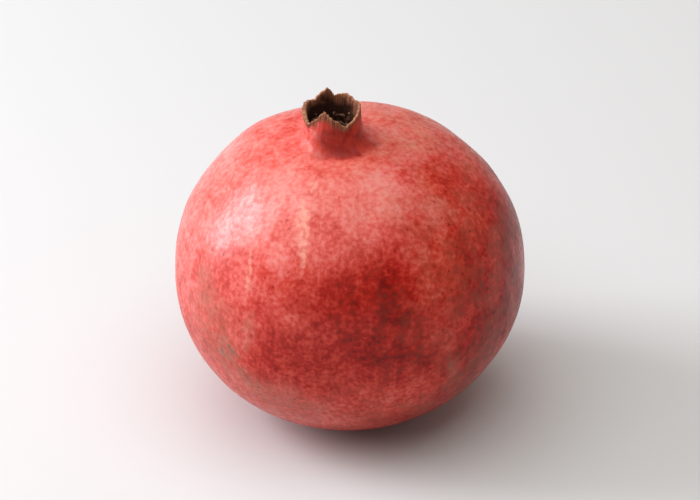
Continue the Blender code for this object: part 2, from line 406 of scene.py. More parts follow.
# Bends the turned blank into the grown fruit: swellings, neck ribs, sepals, wrinkles and lean
def growthTree(values):
    tree, given, result = newGeometryTree("growFruit", values)
    s = fruitShape
    centre, half = s["globeCentre"], s["globeHalfHeight"]

    def attribute(name):
        return place(tree, "GeometryNodeInputNamedAttribute", {"Name": name}, data_type="FLOAT").outputs[0]

    def noise(spot, scale, detail):
        inputs = {"Vector": spot, "W": given["Seed"], "Scale": scale, "Detail": detail}
        made = place(tree, "ShaderNodeTexNoise", inputs, noise_dimensions="4D")
        return calc(tree, "SUBTRACT", made.outputs[0], 0.5)

    spot = tree.nodes.new("GeometryNodeInputPosition").outputs[0]
    split = separated(tree, spot)
    z = split["Z"]
    radius = calc(tree, "SQRT", weighed(tree, (split["X"], split["X"]), (split["Y"], split["Y"])))
    bearing = attribute("bearing")
    turn = calc(tree, "RADIANS", bearing)
    cosine, sine = calc(tree, "COSINE", turn), calc(tree, "SINE", turn)
    midrib, fromRim = attribute("midrib"), attribute("fromRim")
    outside = fade(tree, fromRim, -0.3, 0.3)

    # The globe: waves round it, swellings, and a faint relief all over
    waves = []
    for count, size, crest in s["waves"]:
        phase = times(tree, calc(tree, "SUBTRACT", turn, math.radians(crest)), float(count))
        waves.append(times(tree, calc(tree, "COSINE", phase), size))
    rises = [times(tree, radius, total(tree, *waves))]
    for swellBearing, height, swell, spread in s["swellings"]:
        side = s["globeWidth"] / 2 * math.sqrt(1 - ((height - centre) / half) ** 2)
        swellTurn = math.radians(swellBearing)
        away = distance(tree, spot, (side * math.cos(swellTurn), side * math.sin(swellTurn), height))
        rises.append(times(tree, bell(tree, away, 0.0, spread), swell))
    relief = noise(spot, calc(tree, "DIVIDE", 1.0, given["Relief Size"]), 1.5)
    rises.append(times(tree, relief, given["Skin Relief"], 2.0))
    onGlobe = times(tree, fade(tree, z, *s["reliefStart"]), fade(tree, z, *s["reliefEnd"], 1.0, 0.0))
    rise = times(tree, total(tree, *rises), onGlobe)
    slope = calc(tree, "DIVIDE", calc(tree, "SUBTRACT", z, centre), half)
    flat = calc(tree, "SQRT", calc(tree, "MAXIMUM", oneMinus(tree, times(tree, slope, slope)), 0.0))

    # The neck: a rib under each sepal, a groove under each notch, and a crease at its foot in front
    onNeck = times(tree, fade(tree, z, *s["neckStart"]), fade(tree, z, *s["neckEnd"], 1.0, 0.0), outside)
    rib = times(tree, calc(tree, "SUBTRACT", times(tree, midrib, midrib), 0.3), given["Neck Rib"])
    valley = calc(tree, "POWER", oneMinus(tree, midrib), 5.0)
    groove = times(tree, valley, given["Neck Groove"], -1.0)
    facing = calc(tree, "COSINE", calc(tree, "SUBTRACT", turn, math.radians(s["frontBearing"])))
    front = fade(tree, facing, -0.2, 0.9)
    foot = bell(tree, radius, s["creaseRadius"], s["creaseWidth"])
    crease = times(tree, foot, front, given["Foot Crease"], outside, fade(tree, z, *s["creaseStart"]))

    # The dried crown: wrinkles down its wall, a ragged edge and a thick lip on the left
    ring = combined(tree, x=cosine, y=sine)
    wall = combined(tree, x=times(tree, cosine, 3.4), y=times(tree, sine, 3.4), z=times(tree, z, 0.16))
    wrinkled = fade(tree, z, *s["wrinkleStart"])
    wrinkle = times(tree, noise(wall, 1.0, 3.0), given["Wrinkle Depth"], 2.0, wrinkled)
    ragged = times(tree, noise(ring, 7.0, 3.0), given["Ragged Edge"], 2.0)
    inSepal = fade(tree, z, s["tubeWaist"], s["rimHeight"])
    onLip = bell(tree, bearing, s["lipBearing"], s["lipSpread"])
    lip = times(tree, onLip, fade(tree, fromRim, 0.6, 3.0, 1.0, 0.0), given["Rolled Lip"], outside)

    edge = times(tree, inSepal, total(tree, attribute("edgeHeight"), ragged))
    height = total(tree, z, times(tree, rise, slope), times(tree, crease, -1.0), edge)
    reach = total(
        tree, radius, times(tree, rise, flat), times(tree, onNeck, total(tree, rib, groove)),
        times(tree, wrinkle, fade(tree, radius, 3.0, 5.5)), lip,
        times(tree, attribute("sepalLean"), inSepal, inSepal),
    )
    lean = leanAt(tree, height, given["Crown Lean"], given["Base Lean"])
    leaning = total(tree, times(tree, reach, cosine), lean)
    grown = combined(tree, x=leaning, y=times(tree, reach, sine), z=height)
    moved = place(tree, "GeometryNodeSetPosition", {"Geometry": given["Geometry"], "Position": grown})
    finishTree(tree, moved, given, result)
    return tree


# A shader group that several finishes share. Its vectors come in millimetres, and it puts out a mask.
def newGroup(name, values):
    tree = bpy.data.node_groups.new(name, "ShaderNodeTree")
    for label, value in values.items():
        addSocket(tree, label, "Vector" if value is None else "Float", value)
    addSocket(tree, "Mask", "Float", output=True)
    return tree, tree.nodes.new("NodeGroupInput").outputs, tree.nodes.new("NodeGroupOutput").inputs["Mask"]


# A noise stretched about its middle and kept between 0 and 1
def contrasted(tree, noise, contrast):
    return clamped(tree, calc(tree, "ADD", times(tree, swing(tree, noise, contrast), 2.5), 0.5))


# Soft blotches of a size, as a mask with a chosen contrast
def blotchGroup():
    values = {"Vector": None, "Size": 10.0, "Contrast": 1.0, "Detail": 3.0, "Twist": 0.5, "Seed": 0.0}
    tree, given, result = newGroup("blotches", values)
    made = place(tree, "ShaderNodeTexNoise", {
        "Vector": given["Vector"], "W": given["Seed"], "Scale": calc(tree, "DIVIDE", 1.0, given["Size"]),
        "Detail": given["Detail"], "Distortion": given["Twist"]}, noise_dimensions="4D")
    feed(tree, result, contrasted(tree, made.outputs[0], given["Contrast"]))
    return tree


# Round specks strewn over a surface: a share of the cells has one, and no two are the same size
def speckGroup():
    values = {"Vector": None, "Spacing": 5.0, "Size": 0.5, "Share": 0.4, "Softness": 0.5}
    tree, given, result = newGroup("specks", values)
    scale = calc(tree, "DIVIDE", 1.0, given["Spacing"])
    shifted = vector(tree, "ADD", given["Vector"], scaled(tree, cloud(tree, given["Vector"], 1.6, 1.0), 0.35))
    cells = place(tree, "ShaderNodeTexVoronoi", {"Vector": shifted, "Scale": scale})
    chance = place(tree, "ShaderNodeSeparateColor", {0: cells.outputs["Color"]}).outputs
    away = times(tree, cells.outputs["Distance"], given["Spacing"])
    size = times(tree, given["Size"], fade(tree, chance[1], 0.0, 1.0, 0.45, 1.0, "LINEAR"))
    inner = times(tree, size, oneMinus(tree, given["Softness"]))
    dot = fade(tree, away, inner, size, 1.0, 0.0)
    feed(tree, result, times(tree, dot, calc(tree, "LESS_THAN", chance[0], given["Share"])))
    return tree


# Fibres that run along one direction of the vector they are given
def fibreGroup():
    values = {"Vector": None, "Width": 0.5, "Length": 6.0, "Contrast": 1.0, "Seed": 0.0}
    tree, given, result = newGroup("fibres", values)
    across, along = (calc(tree, "DIVIDE", 1.0, given[name]) for name in ("Width", "Length"))
    stretched = vector(tree, "MULTIPLY", given["Vector"], combined(tree, x=across, y=across, z=along))
    made = place(tree, "ShaderNodeTexNoise", {
        "Vector": stretched, "W": given["Seed"], "Scale": 1.0, "Detail": 3.0, "Roughness": 0.6},
        noise_dimensions="4D")
    feed(tree, result, contrasted(tree, made.outputs[0], given["Contrast"]))
    return tree


# How near a point lies to a straight mark, such as a scar, which tapers to both ends
def markGroup():
    values = {"Vector": None, "Start": None, "End": None, "Width": 1.0, "Softness": 0.6}
    tree, given, result = newGroup("mark", values)
    run = vector(tree, "SUBTRACT", given["End"], given["Start"])
    out = vector(tree, "SUBTRACT", given["Vector"], given["Start"])
    share = clamped(tree, calc(tree, "DIVIDE", dotProduct(tree, out, run), dotProduct(tree, run, run)))
    away = distance(tree, out, scaled(tree, run, share))
    fromMiddle = calc(tree, "ABSOLUTE", calc(tree, "SUBTRACT", share, 0.5))
    slim = times(tree, given["Width"], fade(tree, fromMiddle, 0.15, 0.5, 1.0, 0.35))
    inner = times(tree, slim, oneMinus(tree, given["Softness"]))
    feed(tree, result, fade(tree, away, inner, slim, 1.0, 0.0))
    return tree


blotches, specks, fibres, mark = blotchGroup(), speckGroup(), fibreGroup(), markGroup()


def mask(tree, group, **values):
    node = tree.nodes.new("ShaderNodeGroup")
    node.node_tree = group
    for label, value in values.items():
        feed(tree, node.inputs[label.capitalize()], value)
    return node.outputs["Mask"]


def mix(tree, share, first, second, blend="MIX"):
    node = place(tree, "ShaderNodeMix", data_type="RGBA", blend_type=blend, clamp_factor=True)
    for socket, value in ((node.inputs[0], share), (node.inputs[6], first), (node.inputs[7], second)):
        feed(tree, socket, (*value, 1.0) if isinstance(value, tuple) else value)
    return node.outputs[2]


def colourRamp(tree, share, stops):
    node = place(tree, "ShaderNodeValToRGB", {0: share})
    while len(node.color_ramp.elements) < len(stops):
        node.color_ramp.elements.new(0.5)
    for element, (position, colour) in zip(node.color_ramp.elements, stops):
        element.position = position
        element.color = (*colour, 1.0)
    return node.outputs[0]


def storedValue(tree, name):
    return place(tree, "ShaderNodeAttribute", attribute_name=name).outputs["Fac"]


# A material, and each point's place on the piece in millimetres
def newMaterial(name):
    material = bpy.data.materials.new(name)
    material.use_nodes = True
    tree = material.node_tree
    spot = tree.nodes.new("ShaderNodeTexCoord").outputs["Object"]
    spot = place(tree, "ShaderNodeMapping", {"Vector": spot, "Scale": (1000.0, 1000.0, 1000.0)}).outputs[0]
    return material, tree, tree.nodes["Principled BSDF"], spot


# Feeds a material's shader. The height is in millimetres.
def finishShader(tree, shader, colour, roughness, height):
    bump = place(tree, "ShaderNodeBump", {"Height": height, "Distance": 0.001, "Strength": 1.0})
    feed(tree, shader.inputs["Base Color"], colour)
    feed(tree, shader.inputs["Roughness"], roughness)
    feed(tree, shader.inputs["Normal"], bump.outputs[0])


# A place on the globe's skin
def onSkin(bearing, height):
    level = (height - fruitShape["globeCentre"]) / fruitShape["globeHalfHeight"]
    fullness = fruitShape["shoulderFullness" if level > 0 else "fullness"]
    side = fruitShape["globeWidth"] / 2 * (1 - abs(level) ** fullness) ** (1 / fullness)
    lean = axisShift(height)
    return side * math.cos(math.radians(bearing)) + lean, side * math.sin(math.radians(bearing)), height


rindFinish = {
    "blush": (  # from the palest skin to the darkest
        (0.00, (0.73, 0.225, 0.198)),
        (0.26, (0.70, 0.128, 0.108)),
        (0.50, (0.59, 0.049, 0.034)),
        (0.75, (0.41, 0.011, 0.006)),
        (1.00, (0.20, 0.004, 0.002)),
    ),
    "levels": (  # height as a share of 100 mm, and how dark the skin is there
        (0.00, 0.46), (0.14, 0.40), (0.28, 0.45), (0.40, 0.54), (0.52, 0.54),
        (0.64, 0.46), (0.74, 0.31), (0.84, 0.27), (1.00, 0.40),
    ),
    # Some of these patches are painted shade, marked below; the rest are the skin's own blotches
    "patchesAndShade": (  # bearing, height, spread, how much darker
        (-90.0, 50.0, 17.0, 0.25),
        (-76.0, 65.0, 6.0, 0.18),
        (-66.0, 73.0, 8.0, 0.20),
        (-95.0, 78.0, 9.0, -0.06),
        (-70.0, 46.0, 10.0, 0.10),
        (-110.0, 46.0, 10.0, 0.10),
        (-42.0, 68.0, 10.0, 0.24),
        # painted shade: this and the next two darken the right side and the bottom
        (-45.0, 56.0, 9.0, 0.15),
        (-48.0, 22.0, 17.0, 0.28),
        (-15.0, 24.0, 18.0, 0.19),
        (-65.0, 8.0, 14.0, 0.34),
        (-22.0, 77.0, 8.0, 0.18),
        # painted shade on the right side
        (-15.0, 64.0, 15.0, 0.19),
        (-60.0, 81.0, 7.0, -0.19),
        (-47.0, 75.0, 5.0, -0.16),
        (-62.0, 66.0, 6.0, 0.08),
        (-10.0, 44.0, 22.0, 0.20),
        # painted shade on the right limb
        (10.0, 66.0, 14.0, 0.14),
        (-132.0, 44.0, 10.0, -0.08),
        (-125.0, 70.0, 13.0, -0.12),
        (-165.0, 58.0, 20.0, -0.14),
        (40.0, 45.0, 20.0, 0.12),
        (112.0, 62.0, 16.0, 0.14),
        (-90.0, 74.0, 7.0, 0.10),
        (-71.0, 56.0, 8.0, 0.20),
        (-35.0, 40.0, 12.0, 0.08),
        (95.0, 38.0, 18.0, 0.12),
        (-101.0, 75.0, 5.0, 0.23),
        (-119.0, 73.0, 5.0, 0.18),
        # painted shade: this and the next three darken the lower left and the bottom front
        (-150.0, 30.0, 12.0, 0.12),
        (-74.0, 19.0, 9.0, 0.12),
        (-80.0, 34.0, 12.0, 0.09),
        (-52.0, 26.0, 9.0, 0.08),
        (150.0, 56.0, 13.0, -0.14),
        (-170.0, 78.0, 9.0, -0.14),
        (-136.0, 81.0, 8.0, -0.14),
    ),
    "scars": (  # bearing and height of both ends, width
        (-133.5, 39.5, -131.0, 35.5, 1.7),
        (-130.5, 34.0, -124.5, 26.5, 1.3),
        (-137.5, 37.0, -135.5, 33.5, 1.2),
        (70.0, 52.0, 73.0, 44.0, 1.0),
    ),
    "smudges": (  # as the scars
        (-135.0, 40.0, -132.0, 33.0, 6.0),
        (-131.0, 34.0, -122.0, 24.0, 6.0),
        (-124.0, 52.0, -126.0, 38.0, 3.4),
        (-56.0, 38.0, -52.0, 30.0, 4.0),
        (72.0, 54.0, 72.0, 42.0, 3.6),
        (-150.0, 24.0, -138.0, 19.0, 3.0),
        (-148.0, 54.0, -136.0, 28.0, 17.0),
        (-126.0, 25.0, -102.0, 23.0, 13.0),
    ),
    "streaks": (  # as the scars
        (-113.2, 78.8, -107.8, 66.0, 2.9),
        (-107.5, 82.0, -109.0, 80.2, 1.8),
        (-130.0, 66.0, -126.5, 55.0, 1.6),
    ),
    "warmTint": (0.97, 1.0, 0.78),
    "brownBlotchColour": (0.30, 0.085, 0.050),
    "streakColour": (0.80, 0.36, 0.27),
    "smudgeColour": (0.40, 0.165, 0.115),
    "scarColour": (0.12, 0.075, 0.045),
    "fleckColour": (0.66, 0.14, 0.080),
    "dotColour": (0.20, 0.006, 0.005),
    "speckColour": (0.17, 0.024, 0.016),
    "neckColourAndShade": (0.27, 0.008, 0.004),
    "neckStreak": (0.48, 0.036, 0.020),
    "neckShadedFront": (0.42, -0.91, 0.0),  # the way that the crimson side of the neck faces, away from the key lamp; its crimson is partly the skin's own colour and partly painted shade
    "dryColour": (0.180, 0.058, 0.030),
    "edgeColour": (0.54, 0.240, 0.140),
    "innerWallColour": (0.37, 0.140, 0.074),
    "litWall": (0.88, -0.47, 0.0),  # the lit side of the cup, whose wall stays pale all the way down; elsewhere the wall darkens with depth as painted shade
    # the cup's dark brown, which also serves as painted shade deep in the cup
    "cupColourAndShade": (0.042, 0.012, 0.006),
    "roughness": 0.34,
    "specular": 0.19,
    "wax": 0.55,  # the upper left still has its bloom, the rest is rubbed dull
    "waxRoughness": 0.31,
    "dryRoughness": 0.78,
}


# A mask of the straight marks that go by one name in the finish
def marks(tree, name, where, softness):
    found = []
    for startBearing, startHeight, endBearing, endHeight, width in rindFinish[name]:
        start, end = onSkin(startBearing, startHeight), onSkin(endBearing, endHeight)
        found.append(mask(tree, mark, vector=where, start=start, end=end, width=width, softness=softness))
    return total(tree, *found)


# What the parts of the rind's look share: where a point lies, and the blotches, fibres and specks there
def rindSurface(tree, spot):
    split = separated(tree, spot)
    at = SimpleNamespace(spot=spot, x=split["X"], z=split["Z"], fromRim=storedValue(tree, "fromRim"))

    # Meridian lines meet at the leaning crown: direction round the axis, then height
    lean = leanAt(tree, at.z, fruitShape["crownLean"], fruitShape["baseLean"])
    fromAxis = combined(tree, x=calc(tree, "SUBTRACT", at.x, lean), y=split["Y"])
    at.reach = vector(tree, "LENGTH", fromAxis, output="Value")
    at.outward = vector(tree, "NORMALIZE", fromAxis)
    globeRadius = fruitShape["globeWidth"] / 2
    around = vector(tree, "MULTIPLY", at.outward, (globeRadius, globeRadius, 0.0))
    meridian = vector(tree, "ADD", around, combined(tree, z=at.z))

    at.large = mask(tree, blotches, vector=spot, size=24.0, contrast=0.9, detail=2.0, seed=3.1)
    at.medium = mask(tree, blotches, vector=spot, size=7.0, contrast=0.9, detail=4.0, twist=0.8, seed=8.4)
    at.small = mask(tree, blotches, vector=spot, size=2.2, contrast=0.9, detail=3.0, twist=0.15, seed=1.7)
    at.grain = mask(tree, blotches, vector=spot, size=1.25, contrast=1.5, detail=2.5, twist=0.1, seed=6.2)
    at.lines = mask(tree, fibres, vector=meridian, width=3.0, length=34.0, contrast=0.9, seed=2.0)
    at.thin = mask(tree, fibres, vector=meridian, width=0.9, length=16.0, contrast=0.8, seed=5.0)
    at.wall = mask(tree, fibres, vector=meridian, width=2.2, length=7.0, contrast=1.1, seed=9.0)
    at.dots = mask(tree, specks, vector=spot, spacing=4.2, size=0.60, share=0.30, softness=0.7)
    at.scars = times(tree, marks(tree, "scars", spot, 0.95), fade(tree, at.grain, 0.2, 0.7, 0.55, 1.0))

    # The crown has dried from its edge down, and all of the cup has
    at.dry = fade(tree, total(tree, at.fromRim, swing(tree, at.medium, 2.2)), 0.7, 3.0, 1.0, 0.0)
    at.cup = fade(tree, at.fromRim, -0.5, -1.2)
    at.dryness = calc(tree, "MAXIMUM", at.dry, at.cup)
    at.fresh = oneMinus(tree, at.dryness)
    return at


# How far the skin has ripened, 0 pale to 1 dark, with painted shade added by some patches on the right side
# and low down
def rindRipenessAndShade(tree, at):
    base = place(tree, "ShaderNodeFloatCurve", {"Value": calc(tree, "DIVIDE", at.z, 100.0)})
    points = base.mapping.curves[0].points
    while len(points) < len(rindFinish["levels"]):
        points.new(0.5, 0.5)
    for point, level in zip(points, rindFinish["levels"]):
        point.location = level
    base.mapping.update()

    streaky = total(tree, swing(tree, at.lines, 0.18), swing(tree, at.thin, 0.06))
    ripeAndShade = [
        base.outputs[0],
        swing(tree, at.large, 0.32),
        swing(tree, at.medium, 0.28),
        swing(tree, at.small, 0.22),
        swing(tree, at.grain, 0.24),
        times(tree, streaky, fade(tree, at.z, 75.0, 82.0, 1.0, 0.0)),
    ]
    # Some patches are painted shade: they darken the right side and the bottom, where the lamps leave shade
    for bearing, height, spread, amount in rindFinish["patchesAndShade"]:
        away = distance(tree, at.spot, onSkin(bearing, height))
        ripeAndShade.append(times(tree, bell(tree, away, 0.0, spread), amount))
    return total(tree, *ripeAndShade)


# The globe's skin: its blush, a warm tint that fades out to the left as painted light of the cool key lamp
# there, browner blotches on the right and towards the bottom, and streaks, scars and specks
def globeColour(tree, at, ripenessAndShade):
    warm = mask(tree, blotches, vector=at.spot, size=11.0, contrast=1.3, detail=3.0, seed=12.5)
    # The warm blotches fade out towards the left: a painted tint that stands in for the cool key lamp's light
    # on that side
    warm = times(tree, warm, fade(tree, at.x, -30.0, 25.0, 0.0, 0.95))
    # Browner blotches, more of them on the right and towards the bottom
    brownBlotched = mask(tree, blotches, vector=at.spot, size=8.0, contrast=2.6, detail=4.0, twist=1.0, seed=15.5)
    rightAndLow = total(tree, fade(tree, at.x, -5.0, 40.0, 0.05, 0.40), fade(tree, at.z, 16.0, 40.0, 0.28, 0.0))
    brownBlotched = times(tree, brownBlotched, rightAndLow, fade(tree, at.grain, 0.2, 0.8, 0.5, 1.0))
    frayed = vector(tree, "ADD", at.spot, wander(tree, at.spot, 0.55, 3.0, 3.4))
    streaks = times(tree, marks(tree, "streaks", frayed, 0.8), fade(tree, at.grain, 0.15, 0.85, 0.56, 0.28))
    smudges = times(tree, marks(tree, "smudges", frayed, 0.95), fade(tree, at.small, 0.1, 0.8, 0.15, 0.5))
    tiny = mask(tree, specks, vector=at.spot, spacing=1.9, size=0.60, share=0.45, softness=0.65)
    aside = vector(tree, "ADD", at.spot, (50.0, 0.0, 0.0))
    pale = mask(tree, specks, vector=aside, spacing=2.1, size=0.5, share=0.3, softness=0.8)

    colour = colourRamp(tree, ripenessAndShade, rindFinish["blush"])
    colour = mix(tree, warm, colour, rindFinish["warmTint"], "MULTIPLY")
    layers = (
        (brownBlotched, "brownBlotchColour"),
        (streaks, "streakColour"),
        (smudges, "smudgeColour"),
        (at.scars, "scarColour"),
        (times(tree, pale, fade(tree, ripenessAndShade, 0.3, 0.8, 0.32, 0.14)), "fleckColour"),
        (times(tree, tiny, fade(tree, ripenessAndShade, 0.15, 0.75, 0.2, 0.8)), "dotColour"),
        (times(tree, at.dots, 0.6), "speckColour"),
    )
    for share, name in layers:
        colour = mix(tree, share, colour, rindFinish[name])
    return colour


# The neck is deep crimson in front, partly its own colour and partly painted shade, then the crown dries to
# brown, with a pale edge and a cup that darkens with depth as painted shade, save on its lit side
def crownColour(tree, at, colour):
    look = rindFinish
    # The crimson front of the neck faces away from the key lamp: its darkness is partly the skin's own colour
    # and partly painted shade
    facing = dotProduct(tree, at.outward, look["neckShadedFront"])
    front = fade(tree, total(tree, facing, swing(tree, at.small, 0.3)), 0.15, 0.85)
    neckFoot = total(tree, at.reach, swing(tree, at.medium, 3.4), swing(tree, at.small, 1.6))
    neck = times(tree, fade(tree, neckFoot, 10.2, 13.6, 1.0, 0.0), fade(tree, at.z, 76.0, 80.0), front)
    clouded = weighed(tree, (at.medium, 0.5), (at.small, 0.35), (at.wall, 0.15))
    necked = mix(tree, fade(tree, clouded, 0.3, 0.75), look["neckColourAndShade"], look["neckStreak"])
    colour = mix(tree, times(tree, neck, 0.94), colour, necked)
    dried = mix(tree, fade(tree, at.wall, 0.2, 0.9), look["dryColour"], look["innerWallColour"])
    colour = mix(tree, at.dry, colour, dried)
    # Painted shade in the cup: its wall darkens towards the cup's floor, except on the lit side
    shadedSide = fade(tree, dotProduct(tree, at.outward, look["litWall"]), 0.35, 0.80, 1.0, 0.0)
    deep = fade(tree, total(tree, at.fromRim, swing(tree, at.small, 1.8)), -0.6, -2.8)
    inner = mix(tree, times(tree, deep, shadedSide), dried, look["cupColourAndShade"])
    colour = mix(tree, at.cup, colour, inner)
    edge = times(tree, bell(tree, at.fromRim, 0.0, 0.42), fade(tree, at.wall, 0.1, 0.8, 0.35, 0.95))
    return mix(tree, edge, colour, look["edgeColour"])


# Smoother on the globe than on the neck and the scars, and dull where it has dried
def rindRoughness(tree, at):
    globe = total(
        tree, rindFinish["roughness"], swing(tree, at.medium, 0.10), swing(tree, at.grain, 0.08),
        times(tree, at.scars, 0.2), fade(tree, at.z, 80.5, 84.5, 0.0, 0.18),
    )
    return weighed(tree, (globe, at.fresh), (at.dryness, rindFinish["dryRoughness"]))


# How much of its wax the skin still has
def rindWax(tree, at):
    return times(
        tree, fade(tree, at.x, -24.0, 20.0, rindFinish["wax"], 0.0), fade(tree, at.z, 36.0, 60.0),
        fade(tree, at.z, 76.0, 83.0, 1.0, 0.4), fade(tree, at.grain, 0.1, 0.9, 1.0, 0.7), at.fresh,
    )


# Leathery grain, small dents, raised specks, and fibrous wrinkles on the crown
def rindHeight(tree, at):
    pores = mask(tree, blotches, vector=at.spot, size=0.9, contrast=0.8, detail=3.0, twist=0.0, seed=4.4)
    dents = mask(tree, blotches, vector=at.spot, size=5.0, contrast=0.8, detail=1.0, twist=0.0, seed=7.7)
    leather = weighed(
        tree, (pores, 0.030), (dents, 0.12), (at.dots, 0.03), (at.scars, 0.03), (at.thin, 0.012)
    )
    crumple = weighed(tree, (at.wall, 0.35), (at.small, 0.25), (at.grain, 0.10))
    return weighed(tree, (leather, at.fresh), (crumple, at.dryness))


def rindMaterial():
    material, tree, shader, spot = newMaterial("rind")
    at = rindSurface(tree, spot)
    colour = crownColour(tree, at, globeColour(tree, at, rindRipenessAndShade(tree, at)))
    finishShader(tree, shader, colour, rindRoughness(tree, at), rindHeight(tree, at))
    shader.inputs["Specular IOR Level"].default_value = rindFinish["specular"]
    shader.inputs["Coat Roughness"].default_value = rindFinish["waxRoughness"]
    feed(tree, shader.inputs["Coat Weight"], rindWax(tree, at))
    return material


threadFinish = {"dark": (0.030, 0.011, 0.006), "light": (0.150, 0.058, 0.024), "roughness": 0.85}


def threadMaterial():
    look = threadFinish
    material, tree, shader, spot = newMaterial("driedStamen")
    patch = mask(tree, blotches, vector=spot, size=1.6, contrast=1.1, seed=2.2)
    lines = mask(tree, fibres, vector=spot, width=0.12, length=1.5, contrast=1.0, seed=1.0)
    colour = mix(tree, times(tree, total(tree, patch, lines), 0.5), look["dark"], look["light"])
    roughness = total(tree, look["roughness"], times(tree, lines, 0.1))
    finishShader(tree, shader, colour, roughness, times(tree, lines, 0.05))
    return material


styleFinish = {"dark": (0.060, 0.026, 0.012), "light": (0.26, 0.13, 0.060), "roughness": 0.75}


def styleMaterial():
    look = styleFinish
    material, tree, shader, spot = newMaterial("driedStyle")
    lines = mask(tree, fibres, vector=spot, width=0.25, length=3.0, contrast=1.1, seed=4.0)
    patch = mask(tree, blotches, vector=spot, size=2.0, contrast=1.0, seed=5.2)
    colour = mix(tree, times(tree, lines, total(tree, patch, 0.3)), look["dark"], look["light"])
    roughness = total(tree, look["roughness"], times(tree, patch, 0.1))
    finishShader(tree, shader, colour, roughness, times(tree, lines, 0.12))
    return material


stalkFinish = {
    "bark": (0.10, 0.048, 0.022),
    "ridge": (0.24, 0.135, 0.070),
    "cutWood": (0.42, 0.270, 0.150),
    "pith": (0.20, 0.105, 0.050),
    "roughness": 0.82,
}


def stalkMaterial():
    look = stalkFinish
    material, tree, shader, spot = newMaterial("cutStalk")
    lines = mask(tree, fibres, vector=spot, width=0.35, length=3.0, contrast=1.1, seed=3.0)
    patch = mask(tree, blotches, vector=spot, size=0.8, contrast=1.1, seed=6.0)
    bark = mix(tree, lines, look["bark"], look["ridge"])
    fromPith = storedValue(tree, "fromPith")
    rings = calc(tree, "SINE", weighed(tree, (fromPith, 14.0), (patch, 2.5)))
    wood = mix(tree, fade(tree, rings, -1.0, 1.0, 0.0, 0.35), look["cutWood"], look["pith"])
    wood = mix(tree, fade(tree, fromPith, 0.3, 0.8, 1.0, 0.0), wood, look["pith"])
    colour = mix(tree, storedValue(tree, "onCut"), bark, wood)
    roughness = total(tree, look["roughness"], times(tree, patch, 0.08))
    finishShader(tree, shader, colour, roughness, weighed(tree, (lines, 0.12), (patch, 0.08)))
    return material


rind = rindMaterial()
skinInputs = {**growth, "Material": rind}
skin = growInto(skinBlank(), growthTree(skinInputs), skinInputs)
skinPoints = np.empty(len(skin.data.vertices) * 3)
skin.data.vertices.foreach_get("co", skinPoints)
skinPoints = skinPoints.reshape(-1, 3)
skinLow, skinHigh = skinPoints.min(0), skinPoints.max(0)
# The skin fills the frame's box and no more; every piece takes the same way into the frame
fit = [min(mm, (fruitHigh[k] - fruitLow[k]) / (skinHigh[k] - skinLow[k])) for k in range(3)]
skinMiddle = [(skinHigh[k] + skinLow[k]) / 2 for k in range(2)]
onto = [(fruitHigh[k] + fruitLow[k]) / 2 - skinMiddle[k] * fit[k] for k in range(2)]
intoFrame = Matrix.Translation((*onto, fruitLow.z - skinLow[2] * fit[2])) @ Matrix.Diagonal((*fit, 1.0))
print("Skin grown:", len(skin.data.polygons), "faces")


# Hands a piece over: into the frame's place and size, and onto its body
def settle(piece, slot, *replaced):
    piece.data.transform(intoFrame)
    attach(piece, "root")
    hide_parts(*replaced)


settle(skin, "rind", "fruit")
print("Skin finished")

outerStamens = {"Count": 20, "Ring Radius": 5.2, "Foot Height": 82.6, "Length": 6.6, "Curl": 0.7,
                "Thread Radius": 0.27, "Anther Size": 0.8, "Untidiness": 0.3, "Crumple": 0.9, "Seed": 11}
innerStamens = {"Count": 20, "Ring Radius": 4.0, "Foot Height": 82.1, "Length": 4.9, "Curl": 1.0,
                "Thread Radius": 0.24, "Anther Size": 0.7, "Untidiness": 0.4, "Crumple": 0.9, "Seed": 23}


